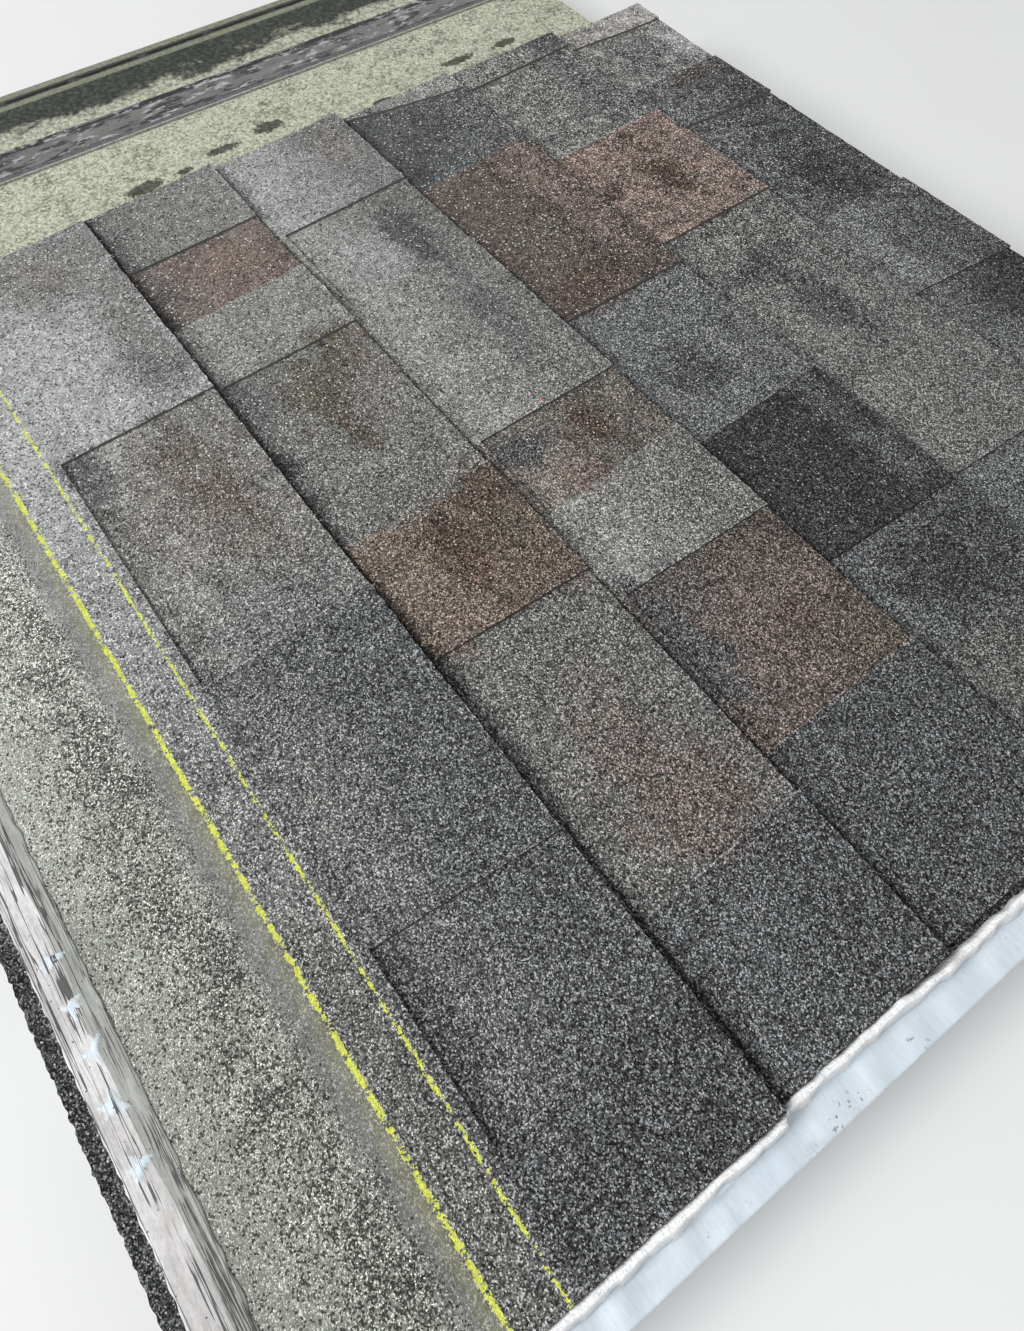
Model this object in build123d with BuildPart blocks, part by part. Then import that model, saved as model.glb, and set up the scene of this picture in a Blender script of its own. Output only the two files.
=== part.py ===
from build123d import *
import os

os.makedirs("parts", exist_ok=True)

# Asphalt shingle bundles lying side by side, with six laminated shingles laid over them in courses.
# X runs along the laid shingles and across the bundles, Y runs down the slope of the courses and
# along the bundles, and Z is up from the underside of the bundles. All sizes are in millimetres.

# One laminated shingle
shingle_length = 1000.0
shingle_height = 337.0
backing_height = 165.0
ply = 2.6
cutout_depth = 145.0

# One bundle
shingles_per_bundle = 20
shingles_taken_out = 6
lay_gap = 0.3
film = 0.6
film_slack = 2.0
film_edge_radius = 6.0
bundle_clearance = 0.3
wrapped_bundles = 3
# A turned shingle steps up over the backing ply below it within this run
step_run = 6.7
# Cutting bodies reach this far past the edge that they open
edge_overcut = 1.0

# Wrap details: the shrunk eye at each end, and the rolled fold along the outer bundle
eye_width = 236.0
eye_height = 34.0
fold_width = 7.0
fold_height = 6.0
fold_inset = 22.5
layer_line_depth = 3.0
layer_line_width = 0.4

# The six courses: how much of each stays uncovered below the one above it, from the top course down
exposures = [145.0, 155.0, 145.0, 154.0, 135.0]
# How far each shingle's near end lies beyond the common line of near ends
near_end_steps = [2.0, -2.0, -5.0, 0.0, -3.0, -1.0]
near_ends_inset = 29.0

# Cut-outs between the teeth of each laid shingle, measured from its near end: the start and the
# width at the butt edge, and how far the two sides lean back towards the far end at the top
course_cutouts = [
    [(86.0, 123.0, -3.0, 10.0), (452.0, 259.0, -4.0, 0.0), (893.0, 130.0, -7.0, 0.0)],
    [(132.0, 227.0, -5.0, 5.0), (494.0, 212.0, -3.0, 0.0), (805.0, 92.0, -9.0, 0.0)],
    [(166.0, 153.0, -4.0, 3.0), (429.0, 86.0, -10.0, 1.0), (738.0, 120.0, -11.0, -2.0)],
    [(151.0, 102.0, -3.0, 4.0), (414.0, 178.0, -5.0, 3.0), (846.0, 118.0, -5.0, 32.0)],
    [(147.0, 103.0, -4.0, 4.0), (379.0, 248.0, -7.0, -3.0), (804.0, 163.0, -7.0, -6.0)],
    [
        (89.0, 100.0, -4.0, 4.0),
        (299.0, 122.0, -5.0, 10.0),
        (562.0, 200.0, -2.0, 5.0),
        (856.0, 102.0, 0.0, 9.0),
    ],
]
stack_cutouts = [(90.0, 125.0, 3.0, -3.0), (330.0, 150.0, -4.0, 4.0), (640.0, 240.0, 4.0, 2.0)]

# Bands on a shingle, measured from the edge that each one follows
tape_width = 31.0
tape_inset = 12.0
tape_thickness = 0.3
tape_end_margin = 4.0
dash_inset = 16.0
dash_width = 6.0
dash_length = 82.0
dash_space = 9.0
dash_thickness = 0.6
back_band_inset = 110.0
back_band_width = 46.0

# Places that follow from the sizes
courses = len(exposures) + 1
step_end = shingle_height - backing_height - lay_gap
step_start = step_end - step_run
pair_plies = 4 if backing_height > step_start + lay_gap else 3
closed_height = shingles_per_bundle / 2 * pair_plies * ply
wrap_height = closed_height + 2 * film
wrap_half = shingle_height / 2 + film + film_slack
pair_height = pair_plies * ply + 2 * lay_gap
slope_length = sum(exposures) + shingle_height
bed_level = wrap_height + lay_gap

# Across the bundles: the wrapped ones first, then the opened one against the last of them
row_width = wrapped_bundles * (2 * wrap_half + bundle_clearance) + shingle_height
near_edge = row_width / 2
wrap_centres = [
    near_edge - wrap_half - n * (2 * wrap_half + bundle_clearance) for n in range(wrapped_bundles)
]
open_centre = -row_width / 2 + shingle_height / 2
near_ends = near_edge - film_slack - film - near_ends_inset

# Down the slope: the butt edge of each course
butt_edges = [-slope_length / 2 + shingle_height]
for exposure in exposures:
    butt_edges.append(butt_edges[-1] + exposure)


def upper_envelope(points):
    """The taut line over a set of (y, z) points: what a stiff sheet does when laid on them."""
    line = []
    for y, z in sorted(points):
        while len(line) >= 2:
            (y1, z1), (y2, z2) = line[-2], line[-1]
            if (y2 - y1) * (z - z1) >= (z2 - z1) * (y - y1):
                line.pop()
            else:
                break
        if line and line[-1][0] == y:
            line.pop()
        line.append((y, z))
    return line


def height_on(line, y):
    """The height of a line of (y, z) points at one place along it."""
    for (y1, z1), (y2, z2) in zip(line, line[1:]):
        if y1 <= y <= y2:
            return z1 + (z2 - z1) * (y - y1) / (y2 - y1)
    return line[-1][1]


def part_of_line(line, start, end):
    """The stretch of a line of (y, z) points between two places along it."""
    inner = [point for point in line if start < point[0] < end]
    return [(start, height_on(line, start))] + inner + [(end, height_on(line, end))]


def raised(line, lift):
    return [(y, z + lift) for y, z in line]


def strip_outline(under, over):
    """The closed section of a sheet, from its underside and its upper side."""
    return under + over[::-1]


# The underside of each top ply, worked out from the lowest course up: a course bridges between
# its own backing ply on the course below, the edges it passes over, and the bundles
ply_undersides = [None] * courses
for n in reversed(range(courses)):
    butt = butt_edges[n]
    top_edge = butt - shingle_height
    backing_edge = butt - backing_height
    held_up = [
        (top_edge, bed_level),
        (backing_edge, bed_level + ply),
        (butt, bed_level + ply),
    ]
    if n + 1 < courses:
        below = raised(ply_undersides[n + 1], ply + lay_gap)
        covered = part_of_line(below, below[0][0], butt)
        held_up += [(y, z) for y, z in covered if y < backing_edge]
        held_up += [(y, z + ply) for y, z in covered if y >= backing_edge]
        held_up.append((backing_edge, height_on(below, backing_edge) + ply))
    ply_undersides[n] = upper_envelope(held_up)


def cutout_corners(cutout, near_end, butt, depth):
    """Corners of one cut-out, open at the butt edge, with its two leaning sides."""
    start, width, near_lean, far_lean = cutout
    past_edge = butt + edge_overcut
    near_x = near_end - start
    far_x = near_x - width
    return [
        (near_x, past_edge),
        (near_x - near_lean, butt - depth),
        (far_x - far_lean, butt - depth),
        (far_x, past_edge),
    ]


# Laid courses
for n in range(courses):
    butt = butt_edges[n]
    near_end = near_ends + near_end_steps[n]
    under = ply_undersides[n]
    over = raised(under, ply)
    with BuildPart() as top_ply:
        with BuildSketch(Plane.YZ.offset(near_end - shingle_length)):
            with BuildLine():
                Polyline(*strip_outline(under, over), close=True)
            make_face()
        extrude(amount=shingle_length)
        with BuildSketch(Plane.XY):
            for cutout in course_cutouts[n]:
                with BuildLine():
                    Polyline(*cutout_corners(cutout, near_end, butt, cutout_depth), close=True)
                make_face()
        extrude(amount=2 * wrap_height, mode=Mode.SUBTRACT)
    top_ply.part.label = f"course_{n + 1}_top_ply"
    export_step(top_ply.part, f"parts/course_{n + 1}_top_ply.step")

    bonded = part_of_line(under, butt - backing_height, butt)
    with BuildPart() as backing_ply:
        with BuildSketch(Plane.YZ.offset(near_end - shingle_length)):
            with BuildLine():
                Polyline(*strip_outline(raised(bonded, -ply), bonded), close=True)
            make_face()
        extrude(amount=shingle_length)
    backing_ply.part.label = f"course_{n + 1}_backing_ply"
    export_step(backing_ply.part, f"parts/course_{n + 1}_backing_ply.step")

# Release tape near the upper edge of the top course, stuck to the headlap
first_over = raised(ply_undersides[0], ply)
tape_start = butt_edges[0] - shingle_height + tape_inset
tape_under = part_of_line(first_over, tape_start, tape_start + tape_width)
with BuildPart() as release_tape:
    with BuildSketch(Plane.YZ.offset(near_ends + near_end_steps[0] - shingle_length + tape_end_margin)):
        with BuildLine():
            Polyline(*strip_outline(tape_under, raised(tape_under, tape_thickness)), close=True)
        make_face()
    extrude(amount=shingle_length - 2 * tape_end_margin)
release_tape.part.label = "course_1_release_tape"
export_step(release_tape.part, "parts/course_1_release_tape.step")


def wrap_section(half_width, low, high, slack, radius):
    """Section of a bundle's film: flat above and below, with sides that belly out."""
    corner = half_width - slack
    Polyline((-corner + radius, low), (corner - radius, low))
    RadiusArc((corner - radius, low), (corner, low + radius), -radius)
    ThreePointArc((corner, low + radius), (half_width, (low + high) / 2), (corner, high - radius))
    RadiusArc((corner, high - radius), (corner - radius, high), -radius)
    Polyline((corner - radius, high), (-corner + radius, high))
    RadiusArc((-corner + radius, high), (-corner, high - radius), -radius)
    ThreePointArc((-corner, high - radius), (-half_width, (low + high) / 2), (-corner, low + radius))
    RadiusArc((-corner, low + radius), (-corner + radius, low), -radius)


# Wrapped bundles: a film with a shrunk eye at each end round a stack of shingles
wrap_names = ["near_bundle", "second_bundle", "third_bundle"]
wrap_length = shingle_length + 2 * film
for n, (bundle_name, centre) in enumerate(zip(wrap_names, wrap_centres)):
    end_plane = Plane(origin=(centre, wrap_length / 2, 0), x_dir=(-1, 0, 0), z_dir=(0, 1, 0))
    with BuildPart() as wrap:
        with BuildSketch(end_plane):
            with BuildLine():
                wrap_section(wrap_half, 0.0, wrap_height, film_slack, film_edge_radius)
            make_face()
        extrude(amount=-wrap_length)
        with BuildSketch(end_plane.offset(-film)):
            with BuildLine():
                wrap_section(
                    wrap_half - film, film, wrap_height - film, film_slack, film_edge_radius - film
                )
            make_face()
        extrude(amount=-shingle_length, mode=Mode.SUBTRACT)
        with BuildSketch(end_plane):
            with Locations((0, wrap_height / 2)):
                SlotOverall(eye_width, eye_height)
        extrude(amount=-wrap_length, mode=Mode.SUBTRACT)
        if n == 0:
            fold_place = near_edge - film_slack - film - fold_inset
            with BuildSketch(end_plane):
                with BuildLine():
                    foot = centre - fold_place
                    Polyline(
                        (foot + fold_width / 2, wrap_height - film / 2),
                        (foot - fold_width / 2, wrap_height - film / 2),
                    )
                    ThreePointArc(
                        (foot - fold_width / 2, wrap_height - film / 2),
                        (foot, wrap_height + fold_height),
                        (foot + fold_width / 2, wrap_height - film / 2),
                    )
                make_face()
            extrude(amount=-wrap_length)
    wrap.part.label = f"{bundle_name}_wrap"
    export_step(wrap.part, f"parts/{bundle_name}_wrap.step")

    stack_half = shingle_height / 2
    with BuildPart() as stack:
        with BuildSketch(Plane.XY.offset(film)):
            with Locations((centre, 0)):
                Rectangle(shingle_height, shingle_length)
        extrude(amount=closed_height)
        fillet(stack.edges().filter_by(Axis.Y), radius=film_edge_radius - film)
        for layer in range(1, shingles_per_bundle // 2):
            line_level = film + layer * pair_plies * ply - layer_line_width / 2
            with BuildSketch(Plane.XY.offset(line_level)):
                for end in (-1, 1):
                    with Locations((centre, end * shingle_length / 2)):
                        Rectangle(shingle_height, 2 * layer_line_depth)
            extrude(amount=layer_line_width, mode=Mode.SUBTRACT)
    stack.part.label = f"{bundle_name}_stack"
    export_step(stack.part, f"parts/{bundle_name}_stack.step")


def on_front_plane(points, outer_edge, outward):
    """Places a section measured inwards from a shingle's butt edge on the stack's front plane."""
    return [(outward * inwards - outer_edge, z) for inwards, z in points]


def lying_sections(level, nested):
    """Underside of the top ply and of the backing ply of a shingle lying face down in the stack.

    The lower shingle of a pair lies flat. The upper one is turned round, drops beside the backing
    ply below it and steps up over its edge.
    """
    face = [(0.0, level), (shingle_height, level)]
    if nested:
        face = [
            (0.0, level),
            (step_start, level),
            (step_end, level + ply),
            (shingle_height, level + ply),
        ]
    return face, part_of_line(raised(face, ply), 0.0, backing_height)


# Opened bundle: pairs of shingles turned end for end, all face down, with the last one uppermost
left_in_bundle = shingles_per_bundle - shingles_taken_out
far_edge = open_centre - shingle_height / 2
inner_edge = open_centre + shingle_height / 2
front_plane = Plane(origin=(0, shingle_length / 2, 0), x_dir=(-1, 0, 0), z_dir=(0, 1, 0))

top_solids = []
backing_solids = []
for n in range(left_in_bundle):
    nested = n % 2 == 1
    level = n // 2 * pair_height + (ply + lay_gap if nested else 0.0)
    outer_edge, outward = (far_edge, -1) if nested else (inner_edge, 1)
    face, back = lying_sections(level, nested)
    with BuildPart() as lying_top:
        with BuildSketch(front_plane):
            with BuildLine():
                outline = strip_outline(face, raised(face, ply))
                Polyline(*on_front_plane(outline, outer_edge, outward), close=True)
            make_face()
        extrude(amount=-shingle_length)
        with BuildSketch(Plane.XY):
            for start, width, near_lean, far_lean in stack_cutouts:
                with BuildLine():
                    near_y = shingle_length / 2 - start
                    outside = outer_edge + outward * edge_overcut
                    inside = outer_edge - outward * cutout_depth
                    Polyline(
                        (outside, near_y),
                        (inside, near_y - near_lean),
                        (inside, near_y - width - far_lean),
                        (outside, near_y - width),
                        close=True,
                    )
                make_face()
        extrude(amount=2 * wrap_height, mode=Mode.SUBTRACT)
    top_solids.append(lying_top.part)
    with BuildPart() as lying_backing:
        with BuildSketch(front_plane):
            with BuildLine():
                outline = strip_outline(back, raised(back, ply))
                Polyline(*on_front_plane(outline, outer_edge, outward), close=True)
            make_face()
        extrude(amount=-shingle_length)
    backing_solids.append(lying_backing.part)

back_top = top_solids.pop()
back_backing = backing_solids.pop()
back_top.label = "back_shingle_top_ply"
back_backing.label = "back_shingle_backing_ply"
export_step(back_top, "parts/back_shingle_top_ply.step")
export_step(back_backing, "parts/back_shingle_backing_ply.step")
export_step(
    Compound(label="open_stack_top_plies", children=top_solids), "parts/open_stack_top_plies.step"
)
export_step(
    Compound(label="open_stack_backing_plies", children=backing_solids),
    "parts/open_stack_backing_plies.step",
)

# On the back of the uppermost shingle: a film band and a row of sealant dashes
back_level = level + 2 * ply
band_under = part_of_line(raised(back, ply), back_band_inset, back_band_inset + back_band_width)
with BuildPart() as back_band:
    with BuildSketch(front_plane):
        with BuildLine():
            outline = strip_outline(band_under, raised(band_under, tape_thickness))
            Polyline(*on_front_plane(outline, outer_edge, outward), close=True)
        make_face()
    extrude(amount=-shingle_length)
back_band.part.label = "back_shingle_film_band"
export_step(back_band.part, "parts/back_shingle_film_band.step")

dash_count = int(shingle_length // (dash_length + dash_space))
with BuildPart() as sealant:
    with BuildSketch(Plane.XY.offset(back_level)):
        with Locations((outer_edge - outward * dash_inset, 0)):
            with GridLocations(1, dash_length + dash_space, 1, dash_count):
                SlotOverall(dash_length, dash_width, rotation=90)
    extrude(amount=dash_thickness)
sealant.part.label = "back_shingle_sealant"
export_step(sealant.part, "parts/back_shingle_sealant.step")
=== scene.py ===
# %% [markdown]
# Asphalt shingle bundles with laid courses
#
# The object is one layer of a stack of laminated roof shingles. Four bundles lie side by side: three are
# still in their white film and the far one is opened. Six shingles taken out of it are laid across the
# bundles in overlapping courses. The hard shapes come packed as a fixed frame. This script dresses that
# frame: it loads it, and every place below is worked out from its boxes.

# %% Load the frame
import math

import bpy
import numpy as np
from mathutils import Matrix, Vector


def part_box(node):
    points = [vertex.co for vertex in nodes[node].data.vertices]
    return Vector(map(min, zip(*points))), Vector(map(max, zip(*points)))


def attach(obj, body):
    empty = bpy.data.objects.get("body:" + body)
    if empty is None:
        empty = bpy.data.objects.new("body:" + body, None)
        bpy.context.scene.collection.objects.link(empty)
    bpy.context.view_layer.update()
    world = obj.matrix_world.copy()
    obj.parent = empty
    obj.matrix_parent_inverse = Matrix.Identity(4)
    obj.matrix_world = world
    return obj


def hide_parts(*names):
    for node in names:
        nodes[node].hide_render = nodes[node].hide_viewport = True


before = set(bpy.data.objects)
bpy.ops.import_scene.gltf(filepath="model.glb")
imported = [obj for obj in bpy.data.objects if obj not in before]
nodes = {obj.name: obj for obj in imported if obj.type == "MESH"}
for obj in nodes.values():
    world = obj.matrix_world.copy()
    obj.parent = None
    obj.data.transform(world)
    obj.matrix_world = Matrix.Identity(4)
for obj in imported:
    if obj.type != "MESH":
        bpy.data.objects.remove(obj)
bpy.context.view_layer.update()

mm = 0.001
print("CAD nodes:", len(nodes))

# %% [markdown]
# Where things are. Everything on the shingles is measured from two lines that a roofer would use: the
# near ends of the shingles, and the butt edge of the top course. Reading both from the frame keeps the
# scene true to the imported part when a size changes.

# %% Lines to measure from
courses = 6
tops = [f"course_{n}_top_ply" for n in range(1, courses + 1)]
backings = [f"course_{n}_backing_ply" for n in range(1, courses + 1)]
near_ends = [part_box(node)[1].x for node in tops]
butts = [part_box(node)[1].y for node in tops]
# How much of each course shows below the one above; the top one counts to the top of its windows
exposures = [145 * mm] + [lower - upper for upper, lower in zip(butts, butts[1:])]
near_line = near_ends[3]
first_butt = butts[0]
shingle_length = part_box(tops[0])[1].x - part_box(tops[0])[0].x
shingle_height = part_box(tops[0])[1].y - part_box(tops[0])[0].y
backing_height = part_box(backings[0])[1].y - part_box(backings[0])[0].y
ply = 2.6 * mm
print("butt edges", [round(y, 4) for y in butts])


# %% [markdown]
# Irregularity. No two granules or creases are alike, yet the script must give the same result each run.
# A sum of sine waves in seeded directions is smooth, cheap on whole arrays, and repeats exactly. It is
# used wherever a surface wanders: the edge of a stain, a cut, a crease in film.

# %% Smooth seeded wandering
def wander(x, y, size, seed, waves=14):
    """A sum of sine waves of about one size in millimetres in random directions, mostly within -1..1."""
    draw = np.random.default_rng(seed)
    turn = draw.uniform(0, 2 * np.pi, waves)
    number = 2 * np.pi / (size * mm * draw.uniform(0.7, 1.5, waves))
    shift = draw.uniform(0, 2 * np.pi, waves)
    x, y = np.broadcast_arrays(np.asarray(x, float), np.asarray(y, float))
    phase = x[..., None] * number * np.cos(turn) + y[..., None] * number * np.sin(turn) + shift
    return np.sin(phase).sum(-1) / math.sqrt(waves)


def ease(value, low, high):
    """0 below low, 1 above high, and a smooth S between them."""
    t = np.clip((value - low) / (high - low), 0, 1)
    return t * t * (3 - 2 * t)


print("a few values, 10 mm apart:", np.round(wander(np.arange(4) * 10 * mm, 0, 30, 1), 2))

# %% [markdown]
# Shader arithmetic. A finish is a small formula: where is this point, which granule does it lie in, how
# worn is it. Wiring such formulas by hand is slow to read, so one class wraps a socket and overloads the
# operators. An expression on wrapped sockets adds its Math nodes by itself.

# %% Sockets with arithmetic
class Wire:
    """A shader socket that can be added, multiplied and compared like a number."""

    def __init__(self, finish, socket):
        self.finish = finish
        self.socket = socket

    def maths(self, operation, first, second=0.0, clamp=False):
        settings = {"operation": operation, "use_clamp": clamp}
        return self.finish.node("ShaderNodeMath", settings, {0: first, 1: second})

    __add__ = __radd__ = lambda self, other: self.maths("ADD", self, other)
    __mul__ = __rmul__ = lambda self, other: self.maths("MULTIPLY", self, other)
    __sub__ = lambda self, other: self.maths("SUBTRACT", self, other)
    __rsub__ = lambda self, other: self.maths("SUBTRACT", other, self)
    __truediv__ = lambda self, other: self.maths("DIVIDE", self, other)
    __lt__ = lambda self, other: self.maths("LESS_THAN", self, other)
    __gt__ = lambda self, other: self.maths("GREATER_THAN", self, other)

    def size(self):
        """The value without its sign."""
        return self.maths("ABSOLUTE", self)

    def power(self, exponent):
        return self.maths("POWER", self.size(), exponent)

    def at_least(self, floor):
        return self.maths("MAXIMUM", self, floor)

    def clamped(self):
        return self.maths("ADD", self, 0.0, clamp=True)

    def rise(self, low, high):
        """0 below low and 1 above high, smoothly."""
        return self.finish.node(
            "ShaderNodeMapRange",
            {"interpolation_type": "SMOOTHSTEP"},
            {"Value": self, "From Min": low, "From Max": high},
        )

    def band(self, middle, half, soft):
        """1 within half of the middle, falling to 0 over the soft distance."""
        return 1 - (self - middle).size().rise(half - soft / 2, half + soft / 2)


print("sockets can be added, multiplied and compared")


# %% [markdown]
# A finish is one material, and one method adds every node of it: it takes the node's type, its settings
# and the values or links of its sockets. Places are Object coordinates. Every piece here has its object
# at the origin, so they are places on the assembly, and a line or a stain lies where its numbers say.

# %% A finish and its nodes
def linear(shade):
    """An sRGB shade given in 0..255 steps, as the linear colour that a shader takes."""
    c = np.asarray(shade, float) / 255
    return np.where(c <= 0.04045, c / 12.92, ((c + 0.055) / 1.055) ** 2.4)


class Finish:
    """A material whose nodes are all added by one method."""

    def __init__(self, name, roughness=0.9, specular=0.5):
        self.material = bpy.data.materials.new(name)
        self.material.use_nodes = True
        self.tree = self.material.node_tree
        self.shader = self.tree.nodes["Principled BSDF"]
        self.shader.inputs["Specular IOR Level"].default_value = specular
        self.shader.inputs["Roughness"].default_value = roughness
        self.place = self.node("ShaderNodeTexCoord", output="Object")
        self.x = self.node("ShaderNodeSeparateXYZ", None, {0: self.place}, "X")
        self.y = self.node("ShaderNodeSeparateXYZ", None, {0: self.place}, "Y")

    def node(self, kind, settings=None, sockets=None, output=0):
        """Adds a node: its settings first, then the values or links of its sockets."""
        made = self.tree.nodes.new(kind)
        for name, value in (settings or {}).items():
            if name == "stops":
                self.set_stops(made.color_ramp, value)
            else:
                setattr(made, name, value)
        for key, value in (sockets or {}).items():
            self.join(value, made.inputs[key])
        return Wire(self, made.outputs[output])

    def set_stops(self, ramp, stops):
        while len(ramp.elements) < len(stops):
            ramp.elements.new(1.0)
        for element, (position, level) in zip(ramp.elements, stops):
            element.position = position
            element.color = (level, level, level, 1)

    def join(self, value, socket):
        """Links a wire, or sets a constant; a colour is given as an sRGB shade in 0..255 steps."""
        if isinstance(value, Wire):
            self.tree.links.new(value.socket, socket)
        elif socket.type == "RGBA" and len(value) == 3:
            socket.default_value = (*linear(value), 1)
        else:
            socket.default_value = value

    def attribute(self, name, output="Color"):
        return self.node("ShaderNodeAttribute", {"attribute_name": name}, output=output)

    def noise(self, size, detail=3.0, stretch=(1, 1), roughness=0.55):
        """Noise of about one size in millimetres; a stretch under 1 draws it out along that axis."""
        place = self.place
        if stretch != (1, 1):
            place = self.node("ShaderNodeMapping", None, {"Vector": place, "Scale": (*stretch, 1)})
        sockets = {"Vector": place, "Scale": 1 / (size * mm), "Detail": detail, "Roughness": roughness}
        return self.node("ShaderNodeTexNoise", None, sockets)

    def cells(self, size, output):
        """Voronoi cells of about one size in millimetres: granules are packed like them."""
        sockets = {"Vector": self.place, "Scale": 1 / (size * mm)}
        return self.node("ShaderNodeTexVoronoi", None, sockets, output)

    def lot(self, size):
        """The random number of the cell that a point lies in."""
        return self.red(self.cells(size, "Color"))

    def ramp(self, value, stops):
        return self.node("ShaderNodeValToRGB", {"stops": stops}, {0: value})

    def red(self, colour):
        return self.node("ShaderNodeSeparateColor", None, {0: colour})

    def mix(self, factor, first, second, blend="MIX"):
        settings = {"data_type": "RGBA", "blend_type": blend}
        return self.node("ShaderNodeMix", settings, {0: factor, 6: first, 7: second}, 2)

    def scaled(self, colour, factor):
        settings = {"operation": "SCALE"}
        return self.node("ShaderNodeVectorMath", settings, {0: colour, "Scale": factor})

    def paint(self, colour, roughness=None):
        self.join(colour, self.shader.inputs["Base Color"])
        if roughness is not None:
            self.join(roughness, self.shader.inputs["Roughness"])

    def relief(self, height, depth, strength=1.0):
        sockets = {"Height": height, "Distance": depth, "Strength": strength}
        self.join(self.node("ShaderNodeBump", None, sockets), self.shader.inputs["Normal"])
        return self


print("finishes can be built")


# %% [markdown]
# Mineral granules. A shingle's face is crushed stone, about 1 mm across, pressed into black asphalt.
# Modelled one by one they would be millions of faces, so each Voronoi cell stands for one granule. Its
# random number picks how light the stone is: most are near the blend's own shade, many are nearly black
# and a few nearly white, and now and then a larger pale chip stands out; toward the far end the chips
# grow larger and brighter as painted glints. The shade of the blend itself changes from tooth to tooth,
# so it is painted on the mesh as a colour attribute named tone.

# %% Granule finish
stone_lightness = [(0.0, 0.03), (0.3, 0.09), (0.6, 0.2), (0.8, 0.38), (0.92, 0.7), (1.0, 1.0)]
mean_lightness = 0.25


def speckle(finish, grain, spread, dark_share=0.14, darkness=0.7):
    """Lightness of the granule at a point, about 1 on average, and the height of its dome."""
    cell = finish.lot(grain)
    gap = finish.cells(grain, "Distance")
    stone = (finish.ramp(cell, stone_lightness) / mean_lightness - 1) * spread + 1
    black = (finish.lot(grain * 1.7) < dark_share) * darkness
    return (stone * (1 - black) * 1.1).at_least(0.05), (1 - gap) * (0.6 + cell * 0.4)


def chips(finish, spread, share, size):
    """1 on a few larger pale chips: the middles of wide cells whose random number is high."""
    return (finish.cells(spread, "Distance") < size) * (finish.lot(spread) > 1 - share)


def granules(finish, tone):
    """Multiplies a blend's tone by the speckle; a pale stretch holds fewer dark stones, and so does one
    dusted and with a painted sheen towards the far end.
    """
    coarseness = finish.attribute("tone", "Alpha")
    spread = (1.36 - finish.red(tone) * 2.3) * coarseness
    light, dome = speckle(finish, 0.92, spread.at_least(0.35))
    far = (near_line - finish.x).rise(100 * mm, 800 * mm)
    clump = (finish.noise(3.2, 2.0) - 0.5) * (0.25 + far * 0.8)
    mottle = (finish.noise(9, 4.0, roughness=0.7).rise(0.25, 0.75) - 0.5) * (0.14 + far * 0.34)
    # Pale chips; toward the far end they grow larger and brighter as painted glints
    chip = chips(finish, 4.2, 0.42, 0.15 + far * 0.07)
    finish.relief(dome + chip * 0.5, 0.8 * mm, 0.7)
    neutral = finish.node("ShaderNodeRGBToBW", None, {0: tone})
    own = finish.mix(finish.lot(1.5) * 0.45, tone, neutral)
    uneven = (finish.noise(5, 3.0, roughness=0.7).rise(0.3, 0.7) - 0.5) * (coarseness - 1).clamped() * 2.0
    stone = finish.scaled(own, light * (1 + clump + mottle + uneven))
    return finish.mix(chip * (0.6 + far * 0.3), stone, (226, 226, 221))


# A single stray red granule on the third course, along from the near line and down from the first butt edge
stray = (527 * mm, 224.5 * mm)


def granule_finish(name):
    """The plain stone face: the mesh's tone times the speckle, and the one red granule."""
    finish = Finish(name, roughness=0.92, specular=0.25)
    stone = granules(finish, finish.attribute("tone"))
    away = (finish.x - (near_line - stray[0])).power(2) + (finish.y - (first_butt + stray[1])).power(2)
    finish.paint(finish.mix(away < (1.5 * mm) ** 2, stone, (206, 112, 78)))
    return finish.material


granule_face = granule_finish("mineral granules")
print("granule nodes:", len(granule_face.node_tree.nodes))

# %% [markdown]
# The headlap of the top course is the only one in view, and it carries the roofer's marks: two painted
# yellow lines between which the nails go, a band pressed smooth beside the thicker line, and beyond it
# a cheaper, coarser stone with dark clusters. Separate strips of mesh would have hard edges. Here all are
# bands at set heights above the butt edge, and the paint only reaches some of the granules.

# %% Marked headlap finish
thin_line = 155 * mm
thick_line = 188 * mm
smooth_band = 199 * mm
coarse_from = 209 * mm
outer_margin = 323 * mm


def painted_line(finish, up, height, half, cover):
    """Paint that only reached some granules: the band's strength must beat each granule's number."""
    chance = finish.lot(1.3)
    skip = finish.noise(7, 3.0, (1.0, 0.2)).rise(0.36, 0.58)
    wobble = (finish.noise(24, 3.0) - 0.5) * 2.4 * mm
    strength = (up + wobble).band(height, half, 2.6 * mm) * (skip * 0.85 + 0.2)
    return (strength * cover - chance).rise(0.0, 0.15)


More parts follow.
